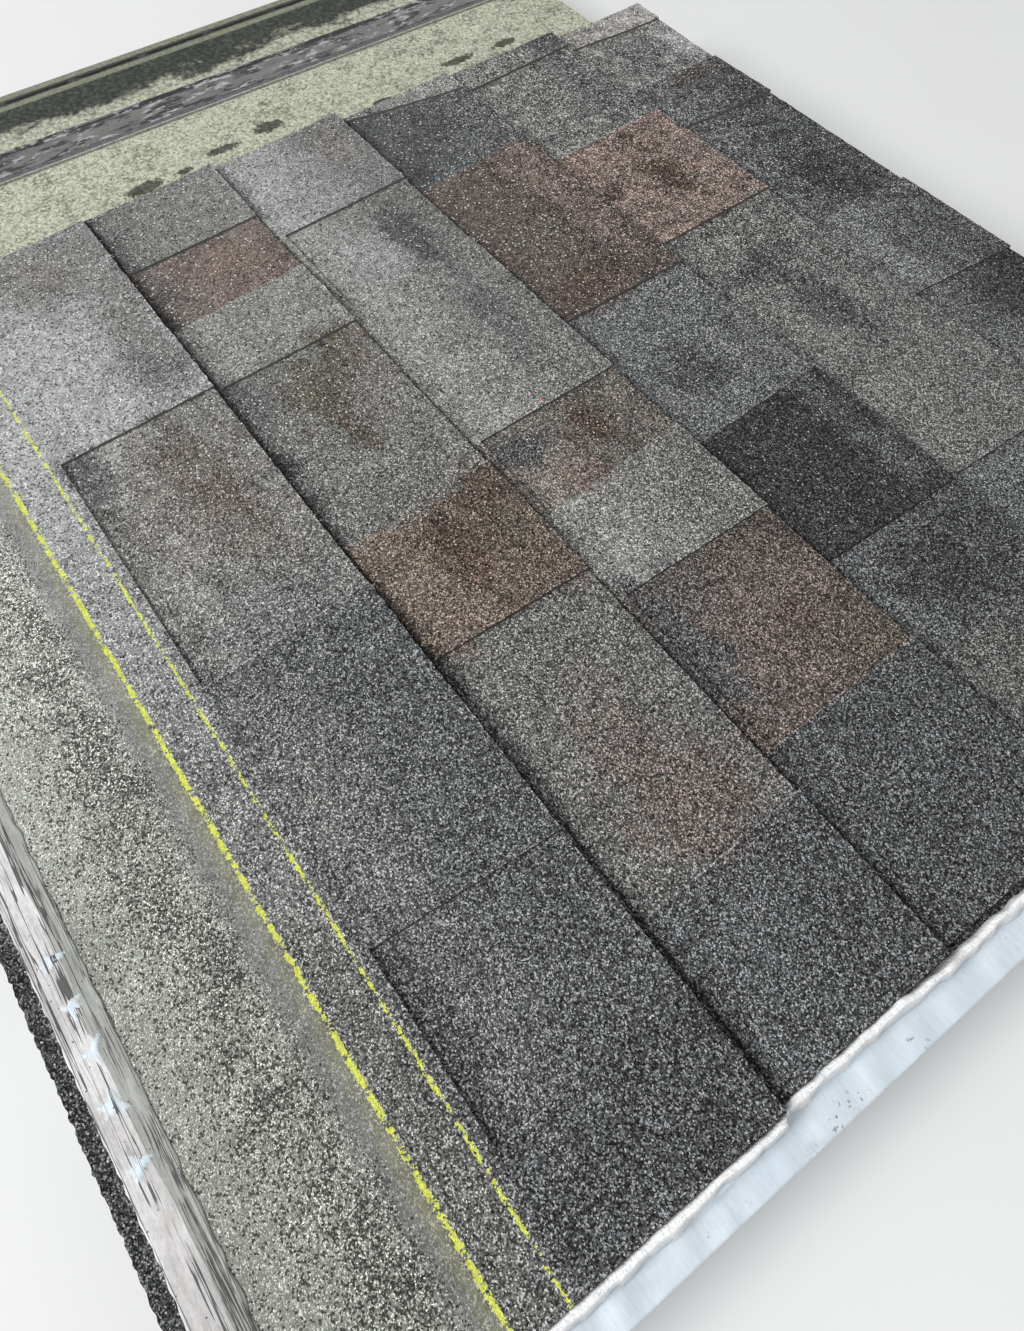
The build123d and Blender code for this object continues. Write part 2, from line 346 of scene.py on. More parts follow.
def marked_finish():
    """Bands by height above the butt edge, each mixed over the last: fine, pressed, coarse, paint."""
    finish = Finish("marked headlap", roughness=0.92, specular=0.25)
    up = first_butt - finish.y
    tone = finish.attribute("tone")
    fine = granules(finish, tone)
    ragged = up + (finish.noise(30, 4.0) - 0.5) * 18 * mm
    pressed = ragged.band(smooth_band, 9 * mm, 7 * mm)
    fine = finish.mix(pressed * 0.55, fine, finish.scaled(tone, 0.8 + finish.noise(2, 3.0) * 0.4))
    haze = up.band(thick_line + 5 * mm, 4 * mm, 12 * mm) * finish.noise(26, 2.0)
    fine = finish.mix(haze * 0.5, fine, (160, 162, 104))
    patch = finish.noise(34, 5.0, roughness=0.7).rise(0.38, 0.62)
    beside = (1 - ragged.rise(coarse_from + 12 * mm, coarse_from + 80 * mm)) * (0.35 + patch * 0.65)
    light, dome = speckle(finish, 0.76, 0.5 + beside * 0.4, 0.12 + beside * 0.5, 0.78)
    number = finish.lot(1.15)
    coarse = (ragged.rise(coarse_from - 13 * mm, coarse_from + 14 * mm) * 1.1 - number).rise(0.0, 0.1)
    stone = finish.mix(coarse, fine, finish.scaled(tone, light))
    margin = up.rise(outer_margin, outer_margin + 1.5 * mm)
    stone = finish.mix(margin, stone, fine)
    paint = painted_line(finish, up, thin_line, 1.2 * mm, 0.95)
    paint = (paint + painted_line(finish, up, thick_line, 1.8 * mm, 1.25)).clamped()
    yellow = finish.scaled(linear((221, 226, 98)), 0.72 + number * 0.5)
    finish.paint(finish.mix(paint * 0.92, stone, yellow))
    finish.relief(dome, 0.9 * mm, 0.7)
    return finish.material


marked_face = marked_finish()
print("marked headlap nodes:", len(marked_face.node_tree.nodes))


# %% [markdown]
# The other faces of a shingle. A cut edge shows the black asphalt and grey flecks of glass mat, and the
# underside is dusted with fine sand. Both are only seen as thin lines in the courses, but the sides of
# the bundles are nothing but cut edges, so they get the same care.

# %% Cut edge and sanded underside
def cut_edge_finish(name, dust_and_sheen_share):
    """Black asphalt, worn grey where a noise is high, paler at the far end, dusted and with a painted sheen,
    and flecks.
    """
    finish = Finish(name, roughness=0.75, specular=0.35)
    layer = finish.noise(0.8, 2.0, (0.06, 0.06))
    fleck = finish.lot(1.1).rise(0.8, 0.95)
    black = (58, 58, 58)
    worn = finish.mix(layer.rise(0.45, 0.75) * 0.5, black, (104, 102, 97))
    dusted_and_sheened = finish.mix((near_line - finish.x).rise(200 * mm, 850 * mm) * dust_and_sheen_share, worn, (128, 127, 122))
    finish.paint(finish.mix(fleck * 0.6, dusted_and_sheened, (118, 116, 110)))
    finish.relief(layer + fleck * 0.5, 0.4 * mm, 0.6)
    return finish.material


def sand_finish(name, sand, bare, bare_share=0.45, dark_patches=()):
    """Fine sand in asphalt: where the noise is low the darker coat shows through, and listed patches are
    darker.
    """
    finish = Finish(name, roughness=0.95, specular=0.2)
    fine = finish.lot(1.6)
    cloud = finish.noise(26, 6.0, roughness=0.72)
    spot = finish.noise(4, 3.0)
    thin = (1.04 - cloud * 0.7 - spot * 0.38).rise(bare_share, bare_share + 0.2)
    base = finish.mix(thin * 0.8, sand, bare)
    for along, up, half_length, half_height in dark_patches:
        beyond = ((finish.x - near_line + along * mm) / (half_length * mm)).power(2)
        beyond = beyond + ((first_butt - finish.y - up * mm) / (half_height * mm)).power(2)
        base = finish.mix((1 - (beyond + (spot - 0.5) * 1.6).rise(0.4, 1.1)) * 0.85, base, (52, 53, 46))
    finish.paint(finish.scaled(base, 0.4 + fine * 0.72 + spot.rise(0.3, 0.7) * 0.48))
    finish.relief(fine + cloud, 0.5 * mm, 0.6)
    return finish.material


cut_edge = cut_edge_finish("cut edge of a course", 0.65)
underside = sand_finish("sanded underside", (116, 117, 108), (62, 62, 60))
print("cut edge and underside ready")

# %% [markdown]
# The blends. The mill drops a different mix of stone on each stretch of the sheet, so one tooth is dark
# slate and its neighbour brown. The names are those of the mixes; a maker who wants another roof colour
# changes only these shades.

# %% Shades of the stone blends
blend_shades = {
    "black": (60, 60, 59),
    "deep slate": (74, 75, 75),
    "slate": (88, 89, 90),
    "grey": (101, 102, 102),
    "mid grey": (113, 112, 109),
    "light grey": (128, 127, 123),
    "pale grey": (144, 144, 142),
    "silver": (165, 166, 164),
    "brown": (113, 105, 98),
    "dark brown": (88, 72, 62),
    "rust": (108, 95, 83),
    "red stone": (112, 91, 83),
    "red brown": (112, 99, 92),
    "pink": (125, 107, 98),
    "olive": (98, 91, 78),
    "bone": (170, 165, 159),
    "stone": (149, 151, 142),
    "pale stone": (183, 185, 177),
}
blend = {name: linear(shade) for name, shade in blend_shades.items()}
print("blends:", ", ".join(blend))

# %% [markdown]
# The cut-outs. The face ply is one sheet with windows cut into its lower half, which leaves teeth. The
# sides of the windows lean a little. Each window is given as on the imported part: where it starts from the
# near end, how wide it is at the butt edge, and how far its two sides lean back at the top.

# %% Windows between the teeth, in millimetres from the near end
window_depth = 145 * mm
windows = [
    [(86, 123, -3, 10), (452, 259, -4, 0), (893, 130, -7, 0)],
    [(132, 227, -5, 5), (494, 212, -3, 0), (805, 92, -9, 0)],
    [(166, 153, -4, 3), (429, 86, -10, 1), (738, 120, -11, -2)],
    [(151, 102, -3, 4), (414, 178, -5, 3), (846, 118, -5, 32)],
    [(147, 103, -4, 4), (379, 248, -7, -3), (804, 163, -7, -6)],
    [(89, 100, -4, 4), (299, 122, -5, 10), (562, 200, -2, 5), (856, 102, 0, 9)],
]
print("windows:", sum(len(row) for row in windows))

# %% [markdown]
# What shows in each stretch. A tooth is the face ply and a window shows the backing ply, and the two come
# from different stretches of the mill's sheet, so the blend changes at every cut. Within one stretch the
# shade changes too, from its lower part to its upper one.

# %% Blends of the teeth and windows
# From the near end: tooth, window, tooth and so on. After the blend come the percent by which its upper
# part is lighter, and its lower part, than the blend itself
# Toward the far end the blends are lighter, partly a painted sheen where the face is seen low
stretches = [
    [("slate", 8, -9), ("grey", 6, -15), ("grey", 2, -8), ("light grey", 36, -6), ("silver", -7, -22),
     ("pale grey", -7, -25)],
    [("slate", 26, -2), ("mid grey", 2, -4), ("rust", 32, -6), ("mid grey", 9, 12), ("light grey", 13, 5),
     ("red brown", 17, 9), ("mid grey", 11, 26)],
    [("slate", 1, -5), ("red brown", 1, -27), ("light grey", 18, -21), ("brown", 23, -22),
     ("light grey", 22, -18), ("light grey", 31, -26), ("pale grey", 15, -30)],
    [("mid grey", -14, -48), ("slate", 31, -18), ("black", 11, 0), ("grey", 15, 9), ("red brown", -19, -31),
     ("slate", -2, 20), ("light grey", 0, 20)],
    [("mid grey", 0, 0), ("grey", 7, -2), ("mid grey", 7, -2), ("mid grey", 4, -4), ("pink", 12, 5),
     ("mid grey", 20, -2), ("light grey", 0, -15)],
    [("slate", 0, 0), ("slate", 0, 0), ("slate", 0, 0), ("slate", 36, -47), ("grey", 37, -24),
     ("grey", -5, -40), ("grey", 3, -37), ("light grey", -2, 1), ("bone", -25, -3)],
]
print("stretches by course:", [len(row) for row in stretches])

# %% [markdown]
# Drifts. Where the mill changes its mix, granules of one run out into the next, so no stretch is one
# shade. A painted picture could hold this, but a list of soft ovals is short, and each can be moved.

# %% Painted highlights on butt edges, and drifts of another blend
# Stretches of butt edge with a painted highlight, where the edge catches the light, in millimetres from
# the near line: course, from, to and how bright
lit_butt_stretches = [
    (2, 700, 1000, 1.0), (4, 905, 1000, 1.6), (3, 330, 470, 0.7), (2, 60, 130, 0.7), (5, 520, 800, 0.5)
]

# Stains and drifts of another blend by course, in millimetres: place along from the near line, place up
# from the butt edge, half length, half height, blend and strength
drifts = {
    1: [
        (20, 70, 60, 90, "slate", 0.6), (150, 115, 90, 36, "mid grey", 0.5),
        (330, 115, 130, 40, "light grey", 0.6), (810, 30, 90, 30, "light grey", 0.5),
        (610, 66, 110, 66, "brown", 0.7), (685, 128, 50, 24, "slate", 0.6),
        (655, 60, 40, 26, "dark brown", 0.35), (600, 52, 30, 20, "rust", 0.7),
        (540, 40, 50, 26, "rust", 0.3), (800, 84, 50, 40, "silver", 0.5), (768, 26, 54, 36, "grey", 0.7),
        (950, 56, 50, 56, "light grey", 0.8), (740, 110, 30, 60, "silver", 0.8),
        (850, 120, 90, 50, "silver", 0.7), (850, 20, 120, 26, "light grey", 0.9),
        (950, 80, 56, 60, "brown", 0.35), (470, 76, 60, 70, "grey", 0.55),
    ],
    2: [
        (170, 60, 45, 60, "red brown", 0.9), (225, 72, 50, 40, "red brown", 0.7),
        (270, 66, 50, 30, "brown", 0.45), (440, 70, 60, 24, "dark brown", 1.0),
        (480, 30, 34, 30, "dark brown", 0.75), (412, 62, 24, 14, "red stone", 0.5),
        (366, 14, 20, 20, "red stone", 0.4), (390, 110, 40, 26, "pink", 0.8),
        (500, 80, 20, 60, "mid grey", 0.75), (650, 34, 60, 40, "brown", 0.8),
        (648, 72, 56, 36, "olive", 0.9), (690, 30, 34, 30, "olive", 0.8),
        (587, 62, 26, 16, "dark brown", 0.6), (692, 6, 16, 10, "red stone", 0.35),
        (681, 130, 40, 20, "slate", 0.6), (625, 30, 24, 30, "light grey", 0.4),
        (850, 50, 40, 44, "pink", 0.8), (868, 60, 24, 22, "red stone", 0.25),
        (850, 134, 60, 26, "slate", 0.6), (945, 25, 60, 26, "light grey", 0.6),
    ],
    3: [
        (250, 50, 60, 40, "red brown", 0.9), (262, 140, 80, 34, "slate", 0.85),
        (305, 108, 30, 34, "slate", 0.5), (185, 20, 24, 40, "olive", 0.5),
        (494, 124, 24, 36, "slate", 0.85), (440, 96, 26, 22, "pink", 0.7),
        (235, 55, 20, 14, "dark brown", 0.7), (482, 60, 28, 22, "dark brown", 0.9),
        (470, 20, 40, 20, "brown", 0.6), (640, 45, 90, 20, "slate", 0.45),
        (780, 90, 55, 40, "pale grey", 0.8), (790, 45, 60, 20, "deep slate", 0.8),
        (960, 30, 60, 30, "brown", 0.45),
    ],
    4: [
        (200, 80, 50, 50, "black", 0.75), (125, 25, 34, 36, "deep slate", 0.6),
        (390, 25, 60, 20, "slate", 0.7), (300, 20, 50, 18, "grey", 0.6), (480, 84, 40, 34, "black", 0.6),
        (500, 25, 26, 12, "slate", 0.7), (620, 90, 36, 50, "dark brown", 0.75),
        (700, 95, 50, 40, "olive", 0.6), (800, 30, 60, 30, "pink", 0.7), (720, 25, 110, 22, "pink", 0.6),
        (920, 110, 70, 34, "slate", 0.7), (930, 60, 24, 20, "deep slate", 0.6),
        (865, 120, 16, 12, "black", 0.6),
    ],
    5: [
        (545, 90, 30, 42, "black", 0.6), (470, 75, 66, 26, "black", 0.6),
        (720, 130, 14, 22, "dark brown", 0.7), (712, 70, 46, 26, "dark brown", 1.0),
        (775, 65, 26, 11, "dark brown", 0.9), (880, 30, 70, 22, "slate", 0.6),
        (1000, 20, 40, 26, "deep slate", 0.9),
    ],
    6: [
        (620, 60, 64, 46, "black", 0.85), (700, 50, 50, 30, "deep slate", 0.5),
        (910, 70, 40, 40, "slate", 0.6), (840, 50, 20, 50, "dark brown", 0.6),
        (910, 12, 50, 18, "silver", 0.9), (380, 60, 40, 50, "black", 0.6), (380, 25, 60, 30, "black", 0.6),
        (740, 30, 130, 26, "slate", 0.5), (480, 70, 60, 30, "deep slate", 0.5),
    ],
}
print("drifts:", sum(len(row) for row in drifts.values()))


# %% [markdown]
# How a course lies. A shingle laid on others is a stiff sheet: its line down the slope is that of the
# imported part, read from the CAD mesh itself. On top of it comes what a warm roof sheet always has, a
# slight lift along the butt edge and at the far corner. Both plies use the same height, so they stay
# bonded.

# %% Height of a laid shingle
lift_run = 70 * mm
edge_lift = 0.9 * mm
corner_lift = 1.3 * mm
lift_shares = [1.9, 1.0, 1.3, 1.0, 1.0, 1.0]


def upper_line(node):
    """The highest point of a CAD sheet at each place down the slope, from its own vertices."""
    mesh = nodes[node].data
    points = np.empty(len(mesh.vertices) * 3)
    mesh.vertices.foreach_get("co", points)
    points = points.reshape(-1, 3)
    places, which = np.unique(np.round(points[:, 1], 5), return_inverse=True)
    heights = np.full(len(places), -1.0)
    np.maximum.at(heights, which, points[:, 2])
    return places, heights


lines = [upper_line(node) for node in tops]


def lying_height(n, x, y):
    """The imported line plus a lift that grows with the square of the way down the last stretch."""
    along = near_ends[n] - x
    last = np.clip((y - butts[n] + lift_run) / lift_run, 0, 1) ** 2
    wave = 0.5 + 0.5 * np.clip(wander(along, 0.37 * n, 170, 40 + n), -1, 1)
    corner = ease(along, shingle_length - 160 * mm, shingle_length)
    lift = edge_lift * lift_shares[n] * wave + corner_lift * corner
    return np.interp(y, *lines[n]) + last * lift


print("height at the first butt edge:", round(float(lines[0][1][-1]), 4))


# %% [markdown]
# Painting the blends. A shader with a hundred ovals would be slow to render and to bake, so the tone is
# worked out once for each vertex and the finish only reads it. It is the shade of the tooth or window,
# mixed with the drifts, each a soft oval whose rim wanders, with painted shade under the edge above.

# %% Drifts and slow changes of tone
def add_drifts(tone, n, x, y):
    """Mixes the drifts of one course into a tone, each by an oval with a wandering rim."""
    along = (near_line - x) / mm
    up = (butts[n] - y) / mm
    rough = wander(x, y, 26, 7) * 0.22 + wander(x, y, 9, 8) * 0.16
    for place, height, half_length, half_height, name, strength in drifts[n + 1]:
        reach = np.hypot((along - place) / half_length, (up - height) / half_height) + rough
        share = strength * (1 - ease(reach, 0.45, 1.15))
        tone = tone + (blend[name] - tone) * share[..., None]
    return tone


def lower_part(x, y, full_down, full_along):
    """0 on the upper courses and near the near ends, rising to 1 on the lower ones away from them."""
    return ease(y - first_butt, 280 * mm, full_down) * ease(near_line - x, 350 * mm, full_along)


def even_tone(x, y, seed):
    """A slow change of lightness over the whole sheet, and soft dark blotches in the lower courses."""
    lower = lower_part(x, y, 480 * mm, 600 * mm)
    blotch = wander(x, y, 24, seed + 2) + 0.6 * wander(x, y, 11, seed + 3)
    even = 1 + 0.06 * wander(x, y, 60, seed) + 0.05 * wander(x, y, 16, seed + 1)
    return even * (1 - 0.2 * lower * np.clip(blotch, -0.9, 1.6))


print("drifts and slow changes ready")


# %% Painted shadow under a butt edge, and painted highlights on rims
# How deep the painted shade is under the butt edge above, course by course: over a soft band, and in the
# thin painted shadow line right at the edge. Toward the near end of the first edge both plies show, so the
# painted shadow is a double line
painted_shade_depths = [0, 0.4, 0.26, 0.25, 0.24, 0.22]
painted_shadow_depths = [0, 0.8, 0.5, 0.45, 0.45, 0.4]
double_shadow_until = 205 * mm


def painted_shade_under_butt(n, x, y):
    """Painted shade below the butt edge above: a painted shadow line of 4 mm, then a band gone after some 25
    mm.
    """
    if n == 0:
        return np.ones_like(x)
    edge = y - butts[n - 1]
    depth = painted_shade_depths[n] * (1 + 0.25 * wander(x, 0, 130, 16))
    band = depth * (1 - ease(edge + 5 * mm * wander(x, y, 40, 15), -2 * mm, 24 * mm))
    double = (1 - ease(near_line - x, double_shadow_until, double_shadow_until + 20 * mm)) * (n == 1)
    reach = (2.4 + 2 * double) * mm
    line = painted_shadow_depths[n] * (1 - ease(edge, reach, reach + 2.4 * mm)) * (0.85 + 0.15 * wander(x, 0, 60, 19))
    line = line * (1 - 0.95 * double * (np.abs(edge - 2.4 * mm) < 0.5 * mm))
    return (1 - band) * (1 - line)


def window_top_shade_and_band(x, y):
    """At the upper ends of the top course's windows, which are in view: partly the backing ply's printed
    shadow band, partly painted shade under the face ply's edge, as under a butt edge.
    """
    below = (y - butts[0] + window_depth) + 4 * mm * wander(x, y, 30, 18)
    return 1 - 0.3 * (1 - ease(below, 8 * mm, 34 * mm))


def painted_rim_highlights(n, x, y, part):
    """Painted highlights where a cut edge catches the light: along the butt and the teeth's far sides."""
    along_butt = y > butts[n] - 1.0 * mm
    lit_stretch = np.clip(wander(x, y * 0.2, 26, 61 + n) - 0.1, 0, 1)
    along = (near_line - x) / mm
    for course, start, stop, strength in lit_butt_stretches:
        if course == n + 1:
            here = ease(along, start - 8, start + 8) * ease(along, stop + 8, stop - 8)
            lit_stretch = lit_stretch + strength * here * (0.6 + 0.4 * wander(x, 0, 6, 64))
    first = np.append(False, part[1:] != part[:-1]) & (part % 2 == 1)
    far_side = first[None, :] & (y > butts[n] - window_depth)
    worn = np.clip(0.5 + wander(x, y, 20, 71 + n), 0, 1)
    return 1 + 1.2 * lit_stretch * along_butt + 1.3 * worn * far_side


print("lines and rims ready")


# %% Tone of the headlap and of each stretch
# The headlap's bands, in millimetres above the butt edge: from, to, shade at the near end and the far end.
# The far shades are lighter, partly a painted sheen where the face is seen low. The last one is the
# margin beyond the tape
headlap_bands = [
    (147, 147, "slate", "pale grey"),
    (153, 187, "mid grey", "silver"),
    (189, 208, "light grey", "pale grey"),
    (211, 321, "stone", "pale stone"),
    (325, 325, "deep slate", "deep slate"),
]
headlap_heights = np.array([height for band in headlap_bands for height in band[:2]]) * mm


def add_headlap(tone, x, y):
    """Above the teeth the tone depends on the height and runs from the near shade to the far one."""
    up = butts[0] - y
    # From near to far the tone gets lighter, partly a painted sheen of the low view
    far = ease(near_line - x + 40 * mm * wander(x, y, 160, 17), 80 * mm, 900 * mm)[..., None]
    shades = []
    for end in (2, 3):
        rows = np.repeat([blend[band[end]] for band in headlap_bands], 2, axis=0)
        shades.append(np.stack([np.interp(up, headlap_heights, rows[:, c]) for c in range(3)], -1))
    lap = (shades[0] + (shades[1] - shades[0]) * far) * 1.05
    share = ease(up, 145.5 * mm, 149 * mm)[..., None]
    return tone + (lap - tone) * share


def shade_rows(n, part, x, y):
    """The base tone: each stretch between two cuts has its own blend, lighter or darker down the slope."""
    base = np.array([blend[name] for name, _, _ in stretches[n]])[part]
    upper = np.array([1 + top / 100 for _, top, _ in stretches[n]])[part]
    lower = np.array([1 + bottom / 100 for _, _, bottom in stretches[n]])[part]
    rise = np.clip((butts[n] - y) / exposures[n] * 2 - 0.5, 0, 1)
    tone = base[None] * (lower + (upper - lower) * rise)[..., None]
    if n == 0:
        tone = add_headlap(tone, x, y)
    # The slow changes of tone, and the painted shade under the edge above
    return add_drifts(tone, n, x, y) * (even_tone(x, y, 20 + n) * painted_shade_under_butt(n, x, y))[..., None]


print("bands of the headlap:", len(headlap_bands))


# %% Dust, painted sheen and coarse stone
# Dust and a painted sheen, where the face is seen low, even out the speckle towards the far ends: how
# much, and where it starts and is complete. The lower courses have less of it and a coarser stone
dust_and_sheen = 0.45
dust_and_sheen_from = 350 * mm
dust_and_sheen_full = 950 * mm
coarse_course = 0.25


def coarseness(x, y):
    """How strongly the granules differ from one another: 1 is plain, less is dusted and with a painted
    sheen.
    """
    lower = lower_part(x, y, 520 * mm, 650 * mm)
    return 1 - dust_and_sheen * ease(near_line - x, dust_and_sheen_from, dust_and_sheen_full) * (1 - lower) + coarse_course * lower


print("coarseness with full dust:", 1 - dust_and_sheen)


# %% [markdown]
# Meshes from grids. Every new shape is a grid of points worked out as whole arrays. Its faces are the
# quads between neighbouring rows and columns, and a mask leaves some out, which is all that a window is.

# %% A grid into a mesh
def grid_faces(rows, columns, keep=None, closed=False):
    """Corner numbers of the quads of a grid; a closed grid joins its last column to its first."""
    number = np.arange(rows * columns).reshape(rows, columns)
    if closed:
        number = np.hstack([number, number[:, :1]])
    quads = np.stack([number[:-1, :-1], number[:-1, 1:], number[1:, 1:], number[1:, :-1]], -1)
    quads = quads.reshape(-1, 4)
    return quads if keep is None else quads[keep.reshape(-1)]


def add_object(name, data):
    """A new object, linked to the scene."""
    made = bpy.data.objects.new(name, data)
    bpy.context.scene.collection.objects.link(made)
    return made


def mesh_object(name, points, faces, materials, smooth=False, tone=None):
    """Puts points and faces into a mesh object at the origin that rides on the body."""
    points = np.asarray(points, float).reshape(-1, 3)
    used, renumbered = np.unique(faces, return_inverse=True)
    mesh = bpy.data.meshes.new(name)
    mesh.from_pydata(points[used].tolist(), [], renumbered.reshape(faces.shape).tolist())
    mesh.polygons.foreach_set("use_smooth", np.full(len(faces), smooth))
    for material in materials:
        mesh.materials.append(material)
    if tone is not None:
        colours = np.ones((len(used), 4), np.float32)
        colours[:, :3] = np.asarray(tone).reshape(-1, 3)[used]
        colours[:, 3] = coarseness(points[used, 0], points[used, 1])
        layer = mesh.color_attributes.new("tone", "FLOAT_COLOR", "POINT")
        layer.data.foreach_set("color", colours.ravel())
    mesh.update()
    made = add_object(name, mesh)
    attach(made, "root")
    return made


def set_number(piece, name, number):
    """A number at each vertex, for the piece's finish to read."""
    layer = piece.data.attributes.new(name, "FLOAT", "POINT")
    level = np.broadcast_to(np.ravel(number), len(piece.data.vertices))
    layer.data.foreach_set("value", level.astype(np.float32))


def give_thickness(piece, thickness, face_offset=0, rim_offset=0):
    """A Solidify modifier that grows inwards from the modelled face."""
    solid = piece.modifiers.new("thickness", "SOLIDIFY")
    solid.thickness = thickness
    solid.offset = -1
    solid.material_offset = face_offset
    solid.material_offset_rim = rim_offset
    return piece


print("mesh helpers ready")


# %% [markdown]
# Columns that follow the cuts. A grid can only have a clean cut where it has a column of points, so the
# columns gather on the sides of the windows and lean with them. Between two cuts they are spread evenly.

# %% Grid of a shingle
row_step = 4.6 * mm
rim = 1.4 * mm


def cut_sides(n):
    """Near and far side of each window of a course: place at the butt edge and lean, in metres."""
    sides = [(0.0, 0.0)]
    for start, width, near_lean, far_lean in windows[n]:
        sides.append((start * mm, near_lean * mm))
        sides.append((min((start + width) * mm, shingle_length), far_lean * mm))
    if sides[-1][0] < shingle_length:
        sides.append((shingle_length, 0.0))
    return np.array(sides)


def shingle_grid(n, rows, ragged, step):
    """Points x, y of a course's face: columns spread between the leaning sides, rows down the slope."""
    sides = cut_sides(n)
    part, fraction = [], []
    for number, width in enumerate(np.diff(sides[:, 0])):
        inner = np.linspace(rim / width, 1 - rim / width, max(2, round(width / step)))
        fraction += [0.0, *inner]
        part += [number] * (len(inner) + 1)
    part = np.array(part + part[-1:])
    fraction = np.array(fraction + [1.0])
    down = (rows - (butts[n] - window_depth)) / window_depth
    lean = np.clip(1 - down, 0, 1)[:, None]
    edge = sides[None, :, 0] + lean * sides[None, :, 1]
    edge = edge + ragged * wander(sides[None, :, 0] * 9, rows[:, None], 7, 60 + n)
    edge[:, 0] = 0
    edge[:, -1] = shingle_length
    edge = np.minimum(edge, shingle_length)
    along = edge[:, part] * (1 - fraction) + edge[:, part + 1] * fraction
    return near_ends[n] - along, np.repeat(rows[:, None], along.shape[1], 1), part


print("columns of the first course:", len(shingle_grid(0, np.array([butts[0]]), 0, row_step)[2]))


# %% Rows down the slope
# Rows under the butt edge of the course above, close enough for the thin painted shadow line
shadow_line_rows = np.array([-1.2, 0.8, 2.4, 4.0, 7.0]) * mm
# A covered sheet has close rows only up to this height above its butt edge, and wide steps beyond it
close_rows = 168 * mm
hidden_step = 14 * mm


def row_places(n, start, dense_from):
    """Rows down the slope: wide apart where covered, close where the face shows and at the edge above."""
    hidden = np.linspace(start, dense_from, max(2, round((dense_from - start) / hidden_step)), False)
    turn = butts[n] - window_depth
    above = np.linspace(dense_from, turn, max(2, round((turn - dense_from) / row_step)), False)
    shown = np.linspace(turn, butts[n] - rim, round(window_depth / row_step))
    rows = np.concatenate([hidden if dense_from > start else [], above, shown, [butts[n]]])
    if n == 0:
        return rows
    close = butts[n - 1] + shadow_line_rows
    close = close[np.abs(close - turn) > 1 * mm]
    fixed = np.abs(rows[:, None] - [turn, butts[n] - rim, butts[n]]).min(1) < 0.01 * mm
    clear = np.abs(rows[:, None] - close).min(1) > 1.2 * mm
    return np.unique(np.concatenate([rows[fixed | clear], close]))


print("rows of the second course:", len(row_places(1, butts[1] - shingle_height, butts[1] - close_rows)))


# %% [markdown]
# The laid shingles. Each has a face ply with teeth and a backing ply bonded under them, which shows in
# the windows. Both could be bent from the CAD solids, but those are a few large facets with nowhere to
# paint a tone. So each is a fresh grid on the same lines, thickened downwards by one ply.

# %% Face plies and backing plies
# How far the sides of the teeth, the butt edge and the upper edge wander. The butt edge is set in a
# little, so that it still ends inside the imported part
cut_wander = 0.35 * mm
butt_wander = 0.45 * mm
upper_wander = 0.6 * mm
butt_inset = 0.4 * mm


def face_ply(n):
    """The grid of a course at its lying height, without the quads in the windows."""
    top_row = butts[n] - shingle_height
    rows = row_places(n, top_row, butts[n] - close_rows if n else top_row)
    x, y, part = shingle_grid(n, rows, cut_wander, row_step if n else row_step * 0.6)
    z = lying_height(n, x, y)
    y[-1] += butt_wander * wander(x[-1], 0, 11, 80 + n) - butt_inset
    y[0] += upper_wander * (1 + wander(x[0], 0, 7, 85 + n))
    tone = shade_rows(n, part, x, y)
    # Painted highlights where the cut edges catch the light
    tone = tone * painted_rim_highlights(n, x, y, part)[..., None]
    in_window = (part[:-1] % 2 == 1)[None, :] & (rows[1:] > butts[n] - window_depth + 1e-6)[:, None]
    faces = grid_faces(*x.shape, ~in_window)[:, ::-1]
    points = np.stack([x, y, z], -1)
    name = tops[n].replace("_top", "_face")
    face = granule_face if n else marked_face
    made = mesh_object(name, points, faces, [face, underside, cut_edge], tone=tone)
    return give_thickness(made, ply, 1, 2)


def backing_ply(n):
    """The same grid one ply lower, over the lower half of the shingle, and whole."""
    start = butts[n] - backing_height
    rows = row_places(n, start, start)
    x, y, part = shingle_grid(n, rows, 0.0, row_step)
    z = lying_height(n, x, y) - ply
    y[-1] += butt_inset * (wander(x[-1], 0, 9, 90 + n) - 1)
    tone = shade_rows(n, part, x, y)
    # Darker window tops on the top course: the backing ply's own shadow band, and painted shade under the
    # edge
    if n == 0:
        tone = tone * window_top_shade_and_band(x, y)[..., None]
    faces = grid_faces(*x.shape)[:, ::-1]
    points = np.stack([x, y, z], -1)
    name = backings[n].replace("_backing", "_lower")
    made = mesh_object(name, points, faces, [granule_face, underside, cut_edge], tone=tone)
    return give_thickness(made, ply * 0.98, 1, 2)


for n in range(courses):
    for piece, node in ((face_ply(n), tops[n]), (backing_ply(n), backings[n])):
        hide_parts(node)
        print(piece.name, len(piece.data.polygons), "faces")

# %% [markdown]
# The release tape. A strip of film lies along the upper margin so that shingles packed back to back do
# not stick together. It never lies quite flat: it creases across where the sheet was bent and gathers
# small folds along its edges. Paint alone would look flat from the side, so it is a grid with its own low
# relief, a little above the face, and the finish adds what is finer than the grid.

# %% Finish of the release tape
tape_low, tape_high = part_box("course_1_release_tape")


def long_cracks(finish, size, width):
    """Thin lines along the tape: where a drawn-out noise passes through its middle value."""
    return 1 - (finish.noise(size, 3.0, (0.035, 1.0)) - 0.5).size().rise(width * 0.6, width)


